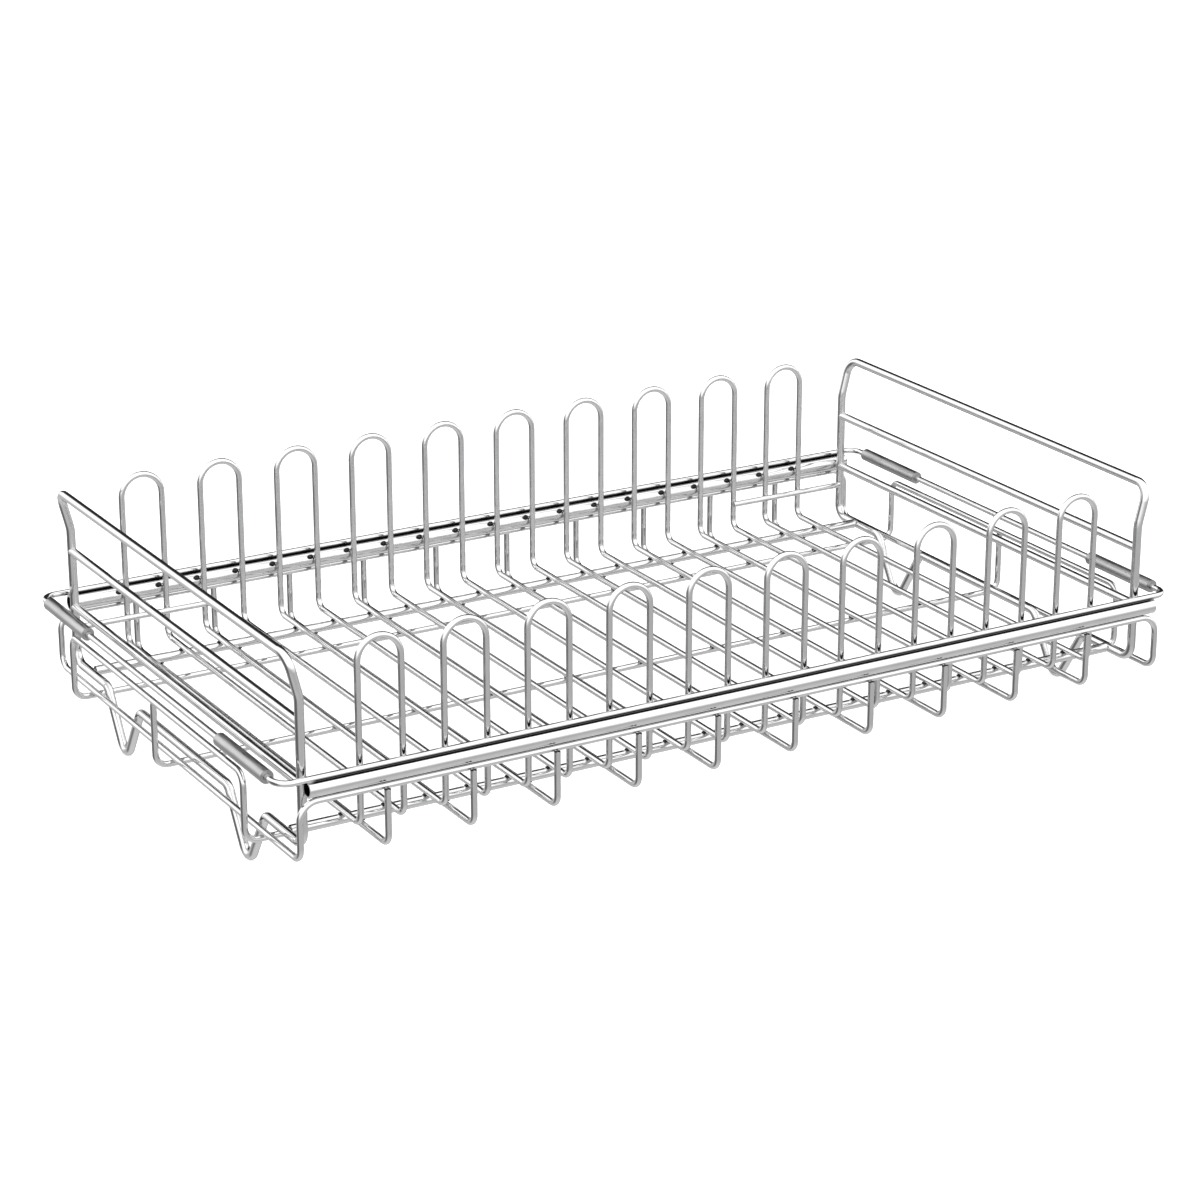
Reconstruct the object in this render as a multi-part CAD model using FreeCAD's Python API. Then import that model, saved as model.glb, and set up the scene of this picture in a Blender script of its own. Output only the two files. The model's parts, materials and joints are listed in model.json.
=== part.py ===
"""Wire dish drying rack: a welded basket of bent wires, rods and tubes.

Frame: millimetres, +Z up, +X along the rack's length, +Y from front to back.
The origin is on the ground, at the centre of the footprint. The rack stands on
the four V feet of its two end frames.
"""

import FreeCAD
import Part
import math
import os

# Stock
WIRE_D = 3.5             # rim, rings, cross wires and plate loops
FRAME_D = 5.0            # end frames
CROSSBAR_D = 4.8
ROD_D = 5.5              # the two floor rods
TUBE_D = 9.0             # the two rail tubes
TUBE_WALL = 1.0
SLEEVE_D = 7.5
SLEEVE_BORE = 3.7        # slides over the rim wire

# Plate loops and cross wires
LOOP_COUNT = 10
LOOP_PITCH = 48.0
CROSS_PITCH = 48.5
CROSS_SIDE_Y = 159.9     # the cross wires' uprights lie against the outside of the lower rails
CROSS_END_DROP = 0.9     # their ends stop this far below the lower rail's axis
LOOP_WIDTH = 24.3        # between the leg centres of one hoop
LOOP_TOP_Z = 137.2       # hoop centreline at its crown
LOOP_FOOT_BEND = 6.0
CROSS_BEND = 6.0

# Basket: rim, rings and rails
RIM_X = 276.2            # half length of the rim centreline
SIDE_Y = 157.0           # half depth of the rim and the lower rails
RIM_Z = 72.1
RIM_CORNER = 8.0
RAIL_Y = 155.25
RAIL_TUBE_X0 = -260.2    # the rail tubes sit a little to the right
RAIL_TUBE_X1 = 267.2
OUTLINE_X0 = -265.5
OUTLINE_X1 = 269.0
OUTLINE_TOP_BEND = 10.0
OUTLINE_FOOT_BEND = 7.0
RING_X = 275.8           # lengthwise ring and middle wire, half length
RING_END_Z = 62.9        # the lengthwise ring's end runs, below the rim's
RING_Y = 113.2
RING_BEND = 7.0
CROSS_Z = 29.0           # floor run of the cross wires and of the outline ring
ROD_Y = 128.0

# Rim sleeves
SLEEVE_Y0 = 87.5
SLEEVE_Y1 = 143.5

# End frames
LEG_X = 259.8
KNEE_Z = 112.5           # the leg leans outwards above this
TOP_X = 265.5
TOP_Z = 135.5
TOP_BEND = 9.0
KNEE_BEND = 20.0
FOOT_RUN_Z = 33.1
FOOT_CORNER = 8.0
V_Y = 81.0
V_HALF = 23.0            # from a V's centre to its upper corners
V_TOP_BEND = 7.0
V_TIP_BEND = 7.0
CROSSBAR_UPPER_Z = 99.4
CROSSBAR_LOWER_Z = 66.2

# Stub bars
STUB_Z = 54.4
STUB_OVERHANG = 2.0

WIRE_R = WIRE_D / 2.0
FRAME_R = FRAME_D / 2.0
ROD_R = ROD_D / 2.0
TUBE_R = TUBE_D / 2.0

# Levels and positions that follow from wires touching each other
rail_drop = math.sqrt((TUBE_R + WIRE_R) ** 2 - (SIDE_Y - RAIL_Y) ** 2)
rail_z = RIM_Z - rail_drop
lower_rail_z = rail_z - rail_drop
ring_floor_z = CROSS_Z - WIRE_D
leg_y = RAIL_Y - TUBE_R - FRAME_R
loop_leg_y = RAIL_Y - TUBE_R - WIRE_R
rod_z = CROSS_Z + WIRE_R + ROD_R
loop_floor_z = rod_z + ROD_R + WIRE_R
stub_y = loop_leg_y - WIRE_D
stub_end_x = LEG_X - math.sqrt(FRAME_R ** 2 - (leg_y - stub_y - WIRE_R) ** 2)
first_leg_x = -((LOOP_COUNT - 1) * LOOP_PITCH + LOOP_WIDTH) / 2.0
first_cross_x = -(LOOP_COUNT - 1) * CROSS_PITCH / 2.0


def vec(x, y, z):
    return FreeCAD.Vector(x, y, z)


def bent_path(points, bends, closed):
    """Edges of a polyline whose corners are rounded to the given radii."""
    count = len(points)
    starts = []
    arcs = []
    for i, point in enumerate(points):
        is_corner = closed or 0 < i < count - 1
        if not is_corner:
            starts.append((point, point))
            arcs.append(None)
            continue
        to_prev = (points[i - 1] - point).normalize()
        to_next = (points[(i + 1) % count] - point).normalize()
        half = to_prev.getAngle(to_next) / 2.0
        setback = bends[i] / math.tan(half)
        first = point + to_prev * setback
        last = point + to_next * setback
        inward = (to_prev + to_next).normalize()
        middle = point + inward * (bends[i] / math.sin(half) - bends[i])
        starts.append((first, last))
        arcs.append(Part.Arc(first, middle, last).toShape())
    edges = []
    for i in range(count):
        if arcs[i] is not None:
            edges.append(arcs[i])
        if i == count - 1 and not closed:
            break
        here = starts[i][1]
        there = starts[(i + 1) % count][0]
        if here.distanceToPoint(there) > 1e-6:
            edges.append(Part.makeLine(here, there))
    return edges


def swept(edges, radius):
    """Round bar of the given radius along the edges."""
    path = Part.Wire(edges)
    first = edges[0]
    start = first.valueAt(first.FirstParameter)
    along = first.tangentAt(first.FirstParameter)
    profile = Part.Wire([Part.makeCircle(radius, start, along)])
    return path.makePipeShell([profile], True, False)


def bent_wire(points, bends, diameter, closed=False):
    """Solid of one bent wire; bends is one radius or one radius per corner."""
    corners = [vec(*p) for p in points]
    if not isinstance(bends, (list, tuple)):
        bends = [bends] * len(corners)
    edges = bent_path(corners, bends, closed)
    return swept(edges, diameter / 2.0)


def bar(start, end, diameter):
    """Straight round bar between two points."""
    a = vec(*start)
    b = vec(*end)
    return Part.makeCylinder(diameter / 2.0, a.distanceToPoint(b), a, b - a)


def tube(start, end, outer, inner):
    """Straight open-ended tube between two points."""
    return bar(start, end, outer).cut(bar(start, end, inner))


def v_depth(drop, half, bend):
    """Depth of a V's sharp corner whose rounded tip ends up at the given drop."""
    k = (bend / half) ** 2
    m = drop - bend
    return (m + math.sqrt(m ** 2 - (1.0 - k) * (m ** 2 - bend ** 2))) / (1.0 - k)


def end_frame(side):
    """Closed ring: hand bar, two leaning shoulders, two legs, run with two V feet."""
    x = side * LEG_X
    tip = FOOT_RUN_Z - v_depth(FOOT_RUN_Z - FRAME_R, V_HALF, V_TIP_BEND)
    foot = [(x, -leg_y, FOOT_RUN_Z)]
    bends = [FOOT_CORNER]
    for centre in (-V_Y, V_Y):
        foot += [
            (x, centre - V_HALF, FOOT_RUN_Z),
            (x, centre, tip),
            (x, centre + V_HALF, FOOT_RUN_Z),
        ]
        bends += [V_TOP_BEND, V_TIP_BEND, V_TOP_BEND]
    foot.append((x, leg_y, FOOT_RUN_Z))
    bends.append(FOOT_CORNER)
    top = [
        (x, leg_y, KNEE_Z),
        (side * TOP_X, leg_y, TOP_Z),
        (side * TOP_X, -leg_y, TOP_Z),
        (x, -leg_y, KNEE_Z),
    ]
    bends += [KNEE_BEND, TOP_BEND, TOP_BEND, KNEE_BEND]
    return bent_wire(foot + top, bends, FRAME_D, closed=True)


def crossbar(x, z, frame):
    """Bar between the two legs of an end frame, its ends saddled onto them."""
    return bar((x, -leg_y, z), (x, leg_y, z), CROSSBAR_D).cut(frame)


def plate_loop(x):
    """Closed ring: front hoop, two floor runs and back hoop, left leg at x."""
    right = x + LOOP_WIDTH
    points = [
        (x, -loop_leg_y, loop_floor_z),
        (x, loop_leg_y, loop_floor_z),
        (x, loop_leg_y, LOOP_TOP_Z),
        (right, loop_leg_y, LOOP_TOP_Z),
        (right, loop_leg_y, loop_floor_z),
        (right, -loop_leg_y, loop_floor_z),
        (right, -loop_leg_y, LOOP_TOP_Z),
        (x, -loop_leg_y, LOOP_TOP_Z),
    ]
    crown = LOOP_WIDTH / 2.0
    bends = [LOOP_FOOT_BEND, LOOP_FOOT_BEND, crown, crown] * 2
    return bent_wire(points, bends, WIRE_D, closed=True)


def cross_wire(x, rails):
    """U wire: its ends lean against the lower rails and are saddled onto them."""
    top = lower_rail_z - CROSS_END_DROP
    points = [
        (x, -CROSS_SIDE_Y, top),
        (x, -CROSS_SIDE_Y, CROSS_Z),
        (x, CROSS_SIDE_Y, CROSS_Z),
        (x, CROSS_SIDE_Y, top),
    ]
    return bent_wire(points, CROSS_BEND, WIRE_D).cut(rails)


def rim_ring():
    points = [
        (-RIM_X, -SIDE_Y, RIM_Z),
        (RIM_X, -SIDE_Y, RIM_Z),
        (RIM_X, SIDE_Y, RIM_Z),
        (-RIM_X, SIDE_Y, RIM_Z),
    ]
    return bent_wire(points, RIM_CORNER, WIRE_D, closed=True)


def outline_ring():
    """Closed ring: lower rails along both long sides, corners, floor ends."""
    points = []
    bends = []
    for x, first in ((OUTLINE_X1, -1), (OUTLINE_X0, 1)):
        for y, z, bend in (
            (first * SIDE_Y, lower_rail_z, OUTLINE_TOP_BEND),
            (first * SIDE_Y, CROSS_Z, OUTLINE_FOOT_BEND),
            (-first * SIDE_Y, CROSS_Z, OUTLINE_FOOT_BEND),
            (-first * SIDE_Y, lower_rail_z, OUTLINE_TOP_BEND),
        ):
            points.append((x, y, z))
            bends.append(bend)
    return bent_wire(points, bends, WIRE_D, closed=True)


def lengthwise_ring():
    """Closed ring: two floor runs, four verticals, two end runs at the rim."""
    points = []
    for side in (-1, 1):
        y = side * RING_Y
        points += [
            (side * RING_X, -y, RING_END_Z),
            (side * RING_X, y, RING_END_Z),
            (side * RING_X, y, ring_floor_z),
            (-side * RING_X, y, ring_floor_z),
        ]
    return bent_wire(points, RING_BEND, WIRE_D, closed=True)


def middle_wire():
    """U wire along the centre of the floor, its ends below the ring's end runs."""
    top = RING_END_Z - WIRE_R
    points = [
        (-RING_X, 0.0, top),
        (-RING_X, 0.0, ring_floor_z),
        (RING_X, 0.0, ring_floor_z),
        (RING_X, 0.0, top),
    ]
    return bent_wire(points, RING_BEND, WIRE_D)


def build_parts():
    lower_rails = outline_ring()
    parts = {
        "rim_ring": rim_ring(),
        "outline_ring": lower_rails,
        "lengthwise_ring": lengthwise_ring(),
        "middle_wire": middle_wire(),
    }
    tube_bore = TUBE_D - 2.0 * TUBE_WALL
    stub_x0 = -first_leg_x - LOOP_PITCH - STUB_OVERHANG
    for end, side in (("left", -1), ("right", 1)):
        frame = end_frame(side)
        parts["end_frame_" + end] = frame
        for level, z in (("upper", CROSSBAR_UPPER_Z), ("lower", CROSSBAR_LOWER_Z)):
            name = "crossbar_" + end + "_" + level
            parts[name] = crossbar(side * LEG_X, z, frame)
        parts["stub_bar_" + end] = bar(
            (side * stub_x0, stub_y, STUB_Z), (side * stub_end_x, stub_y, STUB_Z), WIRE_D
        )
        for row, depth in (("front", -1), ("back", 1)):
            name = "rim_sleeve_" + end + "_" + row
            parts[name] = tube(
                (side * RIM_X, depth * SLEEVE_Y0, RIM_Z),
                (side * RIM_X, depth * SLEEVE_Y1, RIM_Z),
                SLEEVE_D,
                SLEEVE_BORE,
            )
    rod_half = LEG_X - FRAME_R
    for row, depth in (("front", -1), ("back", 1)):
        y = depth * RAIL_Y
        parts["rail_tube_" + row] = tube(
            (RAIL_TUBE_X0, y, rail_z), (RAIL_TUBE_X1, y, rail_z), TUBE_D, tube_bore
        )
        y = depth * ROD_Y
        parts["floor_rod_" + row] = bar((-rod_half, y, rod_z), (rod_half, y, rod_z), ROD_D)
    for i in range(LOOP_COUNT):
        number = "%02d" % (i + 1)
        parts["plate_loop_" + number] = plate_loop(first_leg_x + i * LOOP_PITCH)
        parts["cross_wire_" + number] = cross_wire(first_cross_x + i * CROSS_PITCH, lower_rails)
    return parts


os.makedirs("parts", exist_ok=True)
for node, shape in build_parts().items():
    shape.exportStep(os.path.join("parts", node + ".step"))
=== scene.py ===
import json
import math

import bmesh
import bpy
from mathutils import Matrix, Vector, noise


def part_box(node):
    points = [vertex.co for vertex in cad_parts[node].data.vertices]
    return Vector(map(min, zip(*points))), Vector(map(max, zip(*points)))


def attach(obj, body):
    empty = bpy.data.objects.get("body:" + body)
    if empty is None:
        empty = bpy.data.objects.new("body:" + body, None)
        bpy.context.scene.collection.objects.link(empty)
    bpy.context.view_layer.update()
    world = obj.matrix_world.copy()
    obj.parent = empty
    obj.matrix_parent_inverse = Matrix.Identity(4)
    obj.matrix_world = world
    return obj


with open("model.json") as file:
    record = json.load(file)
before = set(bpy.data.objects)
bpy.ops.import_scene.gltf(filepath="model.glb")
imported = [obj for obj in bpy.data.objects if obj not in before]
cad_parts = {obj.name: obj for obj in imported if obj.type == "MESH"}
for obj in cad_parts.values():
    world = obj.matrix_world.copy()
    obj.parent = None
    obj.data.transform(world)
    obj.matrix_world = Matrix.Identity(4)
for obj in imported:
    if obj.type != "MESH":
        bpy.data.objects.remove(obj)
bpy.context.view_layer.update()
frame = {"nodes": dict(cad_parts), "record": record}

MM = 0.001

# The photograph's viewpoint, in the rack's own frame
CAMERA_AZIMUTH = math.radians(30.17)
CAMERA_ELEVATION = math.radians(19.99)
CAMERA_TARGET = Vector((-2.96, 0.22, 69.62)) * MM
CAMERA_DISTANCE = 1924.8 * MM
CAMERA_LENS = 102.3
CAMERA_SENSOR = 36.0

FLOOR_SIZE = 24.0
FLOOR_GLOW = 0.45

# Steel, and weld scale whose near-black colour is partly painted contact shade
BUMP_DEPTH = 0.2 * MM
CLOUD_SHADE = 0.94              # the duller clouds in the polish
SCALE_AND_SHADE_DARK = (0.008, 0.008, 0.010, 1.0)
SCALE_AND_SHADE_PALE = (0.060, 0.057, 0.055, 1.0)

# Painted shade: a near-black band painted into the rim wire's colour under its long runs, where they
# lie along the rail tubes
PAINTED_SHADE_LEVEL = -0.1 * MM              # its upper edge, from the rim wire's axis
PAINTED_SHADE_EDGE = 0.3 * MM                # half the width of the fade at that edge
PAINTED_SHADE_REACH = (6.0 * MM, 4.0 * MM)   # it fades in between these distances from the rim's outside
PAINTED_SHADE_END = 4.0 * MM                 # length of the fade at each end of the rail tube
PAINTED_SHADE_COLOUR = (0.012, 0.012, 0.014, 1.0)

# Weld nuggets: half extents of each kind, and how far they sit from the crossing's centre
LOOP_NUGGET = (1.9 * MM, 1.3 * MM, 1.6 * MM)
LOOP_OFFSET = (-3.5 * MM, 2.3 * MM, 2.7 * MM)
ROD_NUGGET = (0.9 * MM, 1.6 * MM, 0.7 * MM)
WIRE_NUGGET = (1.5 * MM, 0.9 * MM, 0.7 * MM)
FLOOR_STEP = 1.5 * MM
END_NUGGET = (0.9 * MM, 1.3 * MM, 0.4 * MM)
END_STEP = 0.9 * MM
NUGGET_RIPPLE = 0.12
NUGGET_GRAIN = 1.7
BOTH_WAYS = (-1.0, 1.0)


# ---------------------------------------------------------------- node helpers
def set_inputs(made, **values):
    for name, value in values.items():
        made.inputs[name.replace("_", " ")].default_value = value


def grey(level):
    return (level, level, level, 1.0)


def colour_ramp(tree, value, stops):
    """Colour socket that follows the value through (position, colour) stops."""
    ramp = tree.nodes.new("ShaderNodeValToRGB")
    tree.links.new(value, ramp.inputs["Fac"])
    elements = ramp.color_ramp.elements
    elements.remove(elements[0])
    for i, (where, colour) in enumerate(stops):
        stop = elements[0] if i == 0 else elements.new(where)
        stop.position = where
        stop.color = colour
    return ramp.outputs["Color"]


def mixed(tree, factor, under, cover):
    """Colour socket: the colour under, replaced by the cover colour where the factor is 1."""
    mix = tree.nodes.new("ShaderNodeMix")
    mix.data_type = "RGBA"
    tree.links.new(factor, mix.inputs["Factor"])
    tree.links.new(under, mix.inputs[6])
    mix.inputs[7].default_value = cover
    return mix.outputs[2]


def noise_pattern(tree, place, scale, detail, roughness):
    """Socket with a noise value at each place."""
    pattern = tree.nodes.new("ShaderNodeTexNoise")
    set_inputs(pattern, Scale=scale, Detail=detail, Roughness=roughness)
    tree.links.new(place, pattern.inputs["Vector"])
    return pattern.outputs["Fac"]


def new_material(name):
    """A material with its node tree and its shader."""
    material = bpy.data.materials.new(name)
    material.use_nodes = True
    return material, material.node_tree, material.node_tree.nodes["Principled BSDF"]


def relief(tree, shader, pattern, smooth, rough, strength):
    """Roughness between smooth and rough, and a bump, that both follow the pattern."""
    spread = tree.nodes.new("ShaderNodeMapRange")
    set_inputs(spread, From_Min=0.3, From_Max=0.7, To_Min=smooth, To_Max=rough)
    tree.links.new(pattern, spread.inputs["Value"])
    tree.links.new(spread.outputs["Result"], shader.inputs["Roughness"])
    bump = tree.nodes.new("ShaderNodeBump")
    set_inputs(bump, Strength=strength, Distance=BUMP_DEPTH)
    tree.links.new(pattern, bump.inputs["Height"])
    tree.links.new(bump.outputs["Normal"], shader.inputs["Normal"])


def soft_step(tree, value, start, end):
    """Socket that rises from 0 at start to 1 at end."""
    step = tree.nodes.new("ShaderNodeMapRange")
    step.interpolation_type = "SMOOTHSTEP"
    set_inputs(step, From_Min=start, From_Max=end)
    tree.links.new(value, step.inputs["Value"])
    return step.outputs["Result"]


# ---------------------------------------------------------------- materials
def painted_shade_mask(tree, coordinates):
    """1 under the rim's two long runs along the rail tubes, where a near-black band of painted shade
    goes into the colour.
    """
    low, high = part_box("rim_ring")
    tube_low, tube_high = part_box("rail_tube_front")
    split = tree.nodes.new("ShaderNodeSeparateXYZ")
    tree.links.new(coordinates, split.inputs["Vector"])
    level = (low.z + high.z) / 2.0 + PAINTED_SHADE_LEVEL
    below = soft_step(tree, split.outputs["Z"], level + PAINTED_SHADE_EDGE, level - PAINTED_SHADE_EDGE)
    away = tree.nodes.new("ShaderNodeMath")
    away.operation = "ABSOLUTE"
    tree.links.new(split.outputs["Y"], away.inputs[0])
    outside = soft_step(tree, away.outputs["Value"], high.y - PAINTED_SHADE_REACH[0], high.y - PAINTED_SHADE_REACH[1])
    from_left = soft_step(tree, split.outputs["X"], tube_low.x, tube_low.x + PAINTED_SHADE_END)
    from_right = soft_step(tree, split.outputs["X"], tube_high.x, tube_high.x - PAINTED_SHADE_END)
    mask = below
    for limit in (outside, from_left, from_right):
        both = tree.nodes.new("ShaderNodeMath")
        both.operation = "MULTIPLY"
        tree.links.new(mask, both.inputs[0])
        tree.links.new(limit, both.inputs[1])
        mask = both.outputs["Value"]
    return mask


def polished_steel(name, tint, roughness, grain=(1.0, 1.0, 1.0), painted_shade=False):
    """Bright stainless steel: cloudy polish, fine drawing lines and a faint ripple."""
    material, tree, shader = new_material(name)
    set_inputs(shader, Metallic=1.0)
    place = tree.nodes.new("ShaderNodeTexCoord").outputs["Object"]
    clouds = noise_pattern(tree, place, 90.0, 3.0, 0.55)
    dull = [c * CLOUD_SHADE for c in tint]
    colour = colour_ramp(tree, clouds, [(0.3, [*dull, 1.0]), (0.7, [*tint, 1.0])])
    # painted shade: the near-black band under the rim's long runs
    if painted_shade:
        colour = mixed(tree, painted_shade_mask(tree, place), colour, PAINTED_SHADE_COLOUR)
    tree.links.new(colour, shader.inputs["Base Color"])

    stretch = tree.nodes.new("ShaderNodeMapping")
    stretch.inputs["Scale"].default_value = grain
    tree.links.new(place, stretch.inputs["Vector"])
    lines = noise_pattern(tree, stretch.outputs["Vector"], 700.0, 4.0, 0.6)
    relief(tree, shader, lines, roughness * 0.7, roughness * 1.5, 0.06)
    return material


STEEL = (0.64, 0.64, 0.645)
SLEEVE_STEEL = (0.38, 0.38, 0.385)
MATERIALS = {
    "wire_steel": polished_steel("wire_steel", STEEL, 0.06),
    "frame_steel": polished_steel("frame_steel", STEEL, 0.07),
    "rod_steel": polished_steel("rod_steel", STEEL, 0.10, (0.05, 1.0, 1.0)),
    "tube_steel": polished_steel("tube_steel", STEEL, 0.08, (0.05, 1.0, 1.0)),
    "sleeve_steel": polished_steel("sleeve_steel", SLEEVE_STEEL, 0.30, (1.0, 0.08, 1.0)),
}
# the rim's steel carries the band of painted shade under its long runs
RIM_STEEL_PAINTED_SHADE = polished_steel("rim_steel_painted_shade", STEEL, 0.06, painted_shade=True)
for part in frame["record"]["subparts"]:
    piece = frame["nodes"][part["node"]]
    piece.data.materials.clear()
    is_rim = part["node"] == "rim_ring"
    piece.data.materials.append(RIM_STEEL_PAINTED_SHADE if is_rim else MATERIALS[part["material_slot"]])


# ---------------------------------------------------------------- welds
def weld_metal_and_shade():
    """Weld metal: blue-grey scale with rough, pitted patches, near black partly from heat and partly
    as painted contact shade at the crossings.
    """
    material, tree, shader = new_material("weld_metal_and_shade")
    set_inputs(shader, Metallic=1.0)
    place = tree.nodes.new("ShaderNodeTexCoord").outputs["Object"]
    scale = noise_pattern(tree, place, 900.0, 4.0, 0.6)
    tint = colour_ramp(tree, scale, [(0.35, SCALE_AND_SHADE_DARK), (0.72, SCALE_AND_SHADE_PALE)])
    tree.links.new(tint, shader.inputs["Base Color"])
    relief(tree, shader, scale, 0.28, 0.5, 0.35)
    return material


# the weld nuggets are real welds; their near-black colour is partly painted contact shade
WELD_AND_SHADE_METAL = weld_metal_and_shade()
LOOPS = sorted(name for name in frame["nodes"] if name.startswith("plate_loop"))
CROSS_WIRES = sorted(name for name in frame["nodes"] if name.startswith("cross_wire"))
SIDES = (("front", -1.0), ("back", 1.0))
WIRE_R = (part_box("middle_wire")[1].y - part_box("middle_wire")[0].y) / 2.0


def add_nugget(mesh, centre, size, turn):
    """One weld nugget: a squashed, uneven ball; size is its half extent on each axis."""
    made = bmesh.ops.create_icosphere(mesh, subdivisions=2, radius=1.0)["verts"]
    for vert in made:
        spot = vert.co * NUGGET_GRAIN + Vector((turn, 0.0, 0.0))
        ripple = 1.0 + NUGGET_RIPPLE * noise.noise(spot)
        vert.co = Vector(centre) + Vector(vert.co[i] * size[i] * ripple for i in range(3))


def weld_piece(name, nuggets):
    """All nuggets of one kind as one smooth mesh that rides on the rack."""
    mesh = bmesh.new()
    for i, (centre, size) in enumerate(nuggets):
        add_nugget(mesh, centre, size, float(i))
    for face in mesh.faces:
        face.smooth = True
    data = bpy.data.meshes.new(name)
    mesh.to_mesh(data)
    mesh.free()
    piece = bpy.data.objects.new(name, data)
    piece.data.materials.append(WELD_AND_SHADE_METAL)
    bpy.context.scene.collection.objects.link(piece)
    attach(piece, "root")


def middle(node):
    low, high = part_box(node)
    return (low + high) / 2.0


def loop_legs(node):
    """The two leg centrelines' x of a plate loop, and their distance from the centre plane."""
    low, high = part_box(node)
    return (low.x + WIRE_R, high.x - WIRE_R), high.y - WIRE_R


def loop_welds():
    """Nuggets where the plate loops' legs lean against the rail tubes."""
    spots = []
    across, out, up = LOOP_OFFSET
    for row, side in SIDES:
        rail = middle("rail_tube_" + row)
        for node in LOOPS:
            legs, leg_y = loop_legs(node)
            for x in legs:
                spots.append(((x + across, side * (leg_y + out), rail.z + up), LOOP_NUGGET))
    weld_piece("loop_welds", spots)


def floor_welds():
    """Nuggets where loops and cross wires lie on the floor rods, and at the lengthwise wires."""
    spots = []
    loop_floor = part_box(LOOPS[0])[0].z
    cross_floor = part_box(CROSS_WIRES[0])[0].z
    ring_low, ring_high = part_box("lengthwise_ring")
    runs = [x for node in LOOPS for x in loop_legs(node)[0]]
    for row, _ in SIDES:
        rod = middle("floor_rod_" + row)
        for x in runs:
            for step in BOTH_WAYS:
                spots.append(((x + step * FLOOR_STEP, rod.y, loop_floor), ROD_NUGGET))
        for node in CROSS_WIRES:
            for step in BOTH_WAYS:
                centre = (middle(node).x + step * FLOOR_STEP, rod.y, cross_floor + 2.0 * WIRE_R)
                spots.append((centre, ROD_NUGGET))
    for y in (ring_low.y + WIRE_R, 0.0, ring_high.y - WIRE_R):
        for node in CROSS_WIRES:
            for step in BOTH_WAYS:
                spots.append(((middle(node).x, y + step * FLOOR_STEP, cross_floor), WIRE_NUGGET))
    weld_piece("floor_welds", spots)


def rail_welds():
    """Nuggets round the cross wires' ends, which lean against the lower rails."""
    spots = []
    for node in CROSS_WIRES:
        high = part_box(node)[1]
        for side in BOTH_WAYS:
            for step in BOTH_WAYS:
                centre = (middle(node).x + step * END_STEP, side * (high.y - WIRE_R), high.z)
                spots.append((centre, END_NUGGET))
    weld_piece("rail_welds", spots)


loop_welds()
floor_welds()
rail_welds()


# ---------------------------------------------------------------- floor
def floor_material():
    """Matt pale floor that glows a little, so that the rack's shadow stays faint."""
    material, _, shader = new_material("pale_floor")
    set_inputs(shader, Roughness=0.9, Base_Color=grey(0.8))
    set_inputs(shader, Emission_Color=grey(1.0), Emission_Strength=FLOOR_GLOW)
    return material


bpy.ops.mesh.primitive_plane_add(size=FLOOR_SIZE, location=(0.0, 0.0, 0.0))
floor = bpy.context.object
floor.name = "floor"
floor.data.materials.append(floor_material())
floor.visible_glossy = False


# ---------------------------------------------------------------- studio
SKY_STRENGTH = 2.6
# Sky levels from straight down (-1) over the horizon (0) to straight up (1)
SKY = (
    (-1.0, 0.34), (-0.70, 0.30), (-0.50, 0.27), (-0.34, 0.25),
    (-0.20, 0.30), (0.0, 0.55), (0.12, 0.70), (1.0, 0.70),
)
# Cards round the rack: azimuth and elevation in degrees, half size of core and edge in degrees, level
CARDS = (
    (-75.0, -18.0, 18.0, 48.0, 0.07),
    (36.0, 22.0, 28.0, 46.0, 0.012),
    (30.0, -24.0, 12.0, 30.0, 0.02),
)


def aim(azimuth, elevation):
    """Unit vector; azimuth is measured from +Y towards +X."""
    flat = math.cos(math.radians(elevation))
    return Vector((
        math.sin(math.radians(azimuth)) * flat,
        math.cos(math.radians(azimuth)) * flat,
        math.sin(math.radians(elevation)),
    ))


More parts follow.
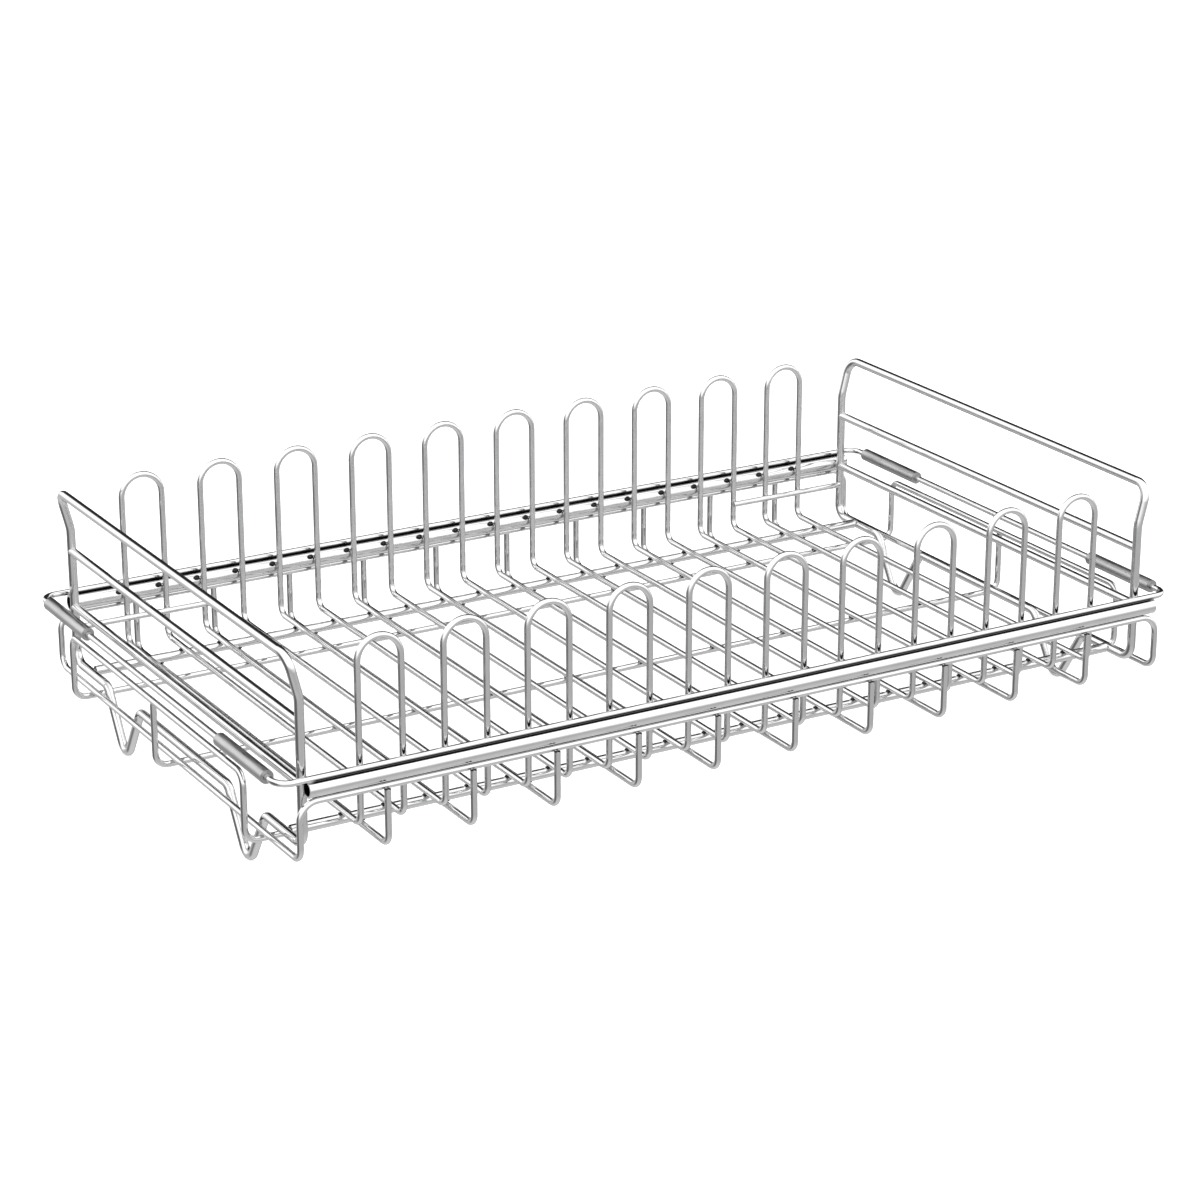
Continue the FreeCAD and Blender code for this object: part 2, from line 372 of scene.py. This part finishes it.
def studio_world():
    """White light tent, grey below the horizon, with soft dark cards beside and behind the rack."""
    world = bpy.data.worlds.new("studio")
    bpy.context.scene.world = world
    world.use_nodes = True
    tree = world.node_tree
    background = tree.nodes["Background"]
    place = tree.nodes.new("ShaderNodeTexCoord")
    split = tree.nodes.new("ShaderNodeSeparateXYZ")
    tree.links.new(place.outputs["Generated"], split.inputs["Vector"])
    height = tree.nodes.new("ShaderNodeMapRange")
    set_inputs(height, From_Min=-1.0, From_Max=1.0)
    tree.links.new(split.outputs["Z"], height.inputs["Value"])
    stops = [((z + 1.0) / 2.0, grey(level)) for z, level in SKY]
    colour = colour_ramp(tree, height.outputs["Result"], stops)
    for azimuth, elevation, core, edge, level in CARDS:
        toward = tree.nodes.new("ShaderNodeVectorMath")
        toward.operation = "DOT_PRODUCT"
        toward.inputs[1].default_value = aim(azimuth, elevation)
        tree.links.new(place.outputs["Generated"], toward.inputs[0])
        outer = math.cos(math.radians(edge))
        inner = math.cos(math.radians(core))
        card = soft_step(tree, toward.outputs["Value"], outer, inner)
        colour = mixed(tree, card, colour, grey(level))
    path = tree.nodes.new("ShaderNodeLightPath")
    colour = mixed(tree, path.outputs["Is Camera Ray"], colour, grey(1.0))
    tree.links.new(colour, background.inputs["Color"])
    background.inputs["Strength"].default_value = SKY_STRENGTH


studio_world()
bpy.context.scene.view_settings.view_transform = "Standard"


# ---------------------------------------------------------------- camera
def photo_camera():
    forward = Vector((
        math.sin(CAMERA_AZIMUTH) * math.cos(CAMERA_ELEVATION),
        math.cos(CAMERA_AZIMUTH) * math.cos(CAMERA_ELEVATION),
        -math.sin(CAMERA_ELEVATION),
    ))
    data = bpy.data.cameras.new("camera")
    data.sensor_width = CAMERA_SENSOR
    data.lens = CAMERA_LENS
    data.clip_start = 0.05
    data.clip_end = 100.0
    camera = bpy.data.objects.new("camera", data)
    camera.location = CAMERA_TARGET - forward * CAMERA_DISTANCE
    camera.rotation_mode = "QUATERNION"
    camera.rotation_quaternion = forward.to_track_quat("-Z", "Y")
    bpy.context.scene.collection.objects.link(camera)
    bpy.context.scene.camera = camera


photo_camera()
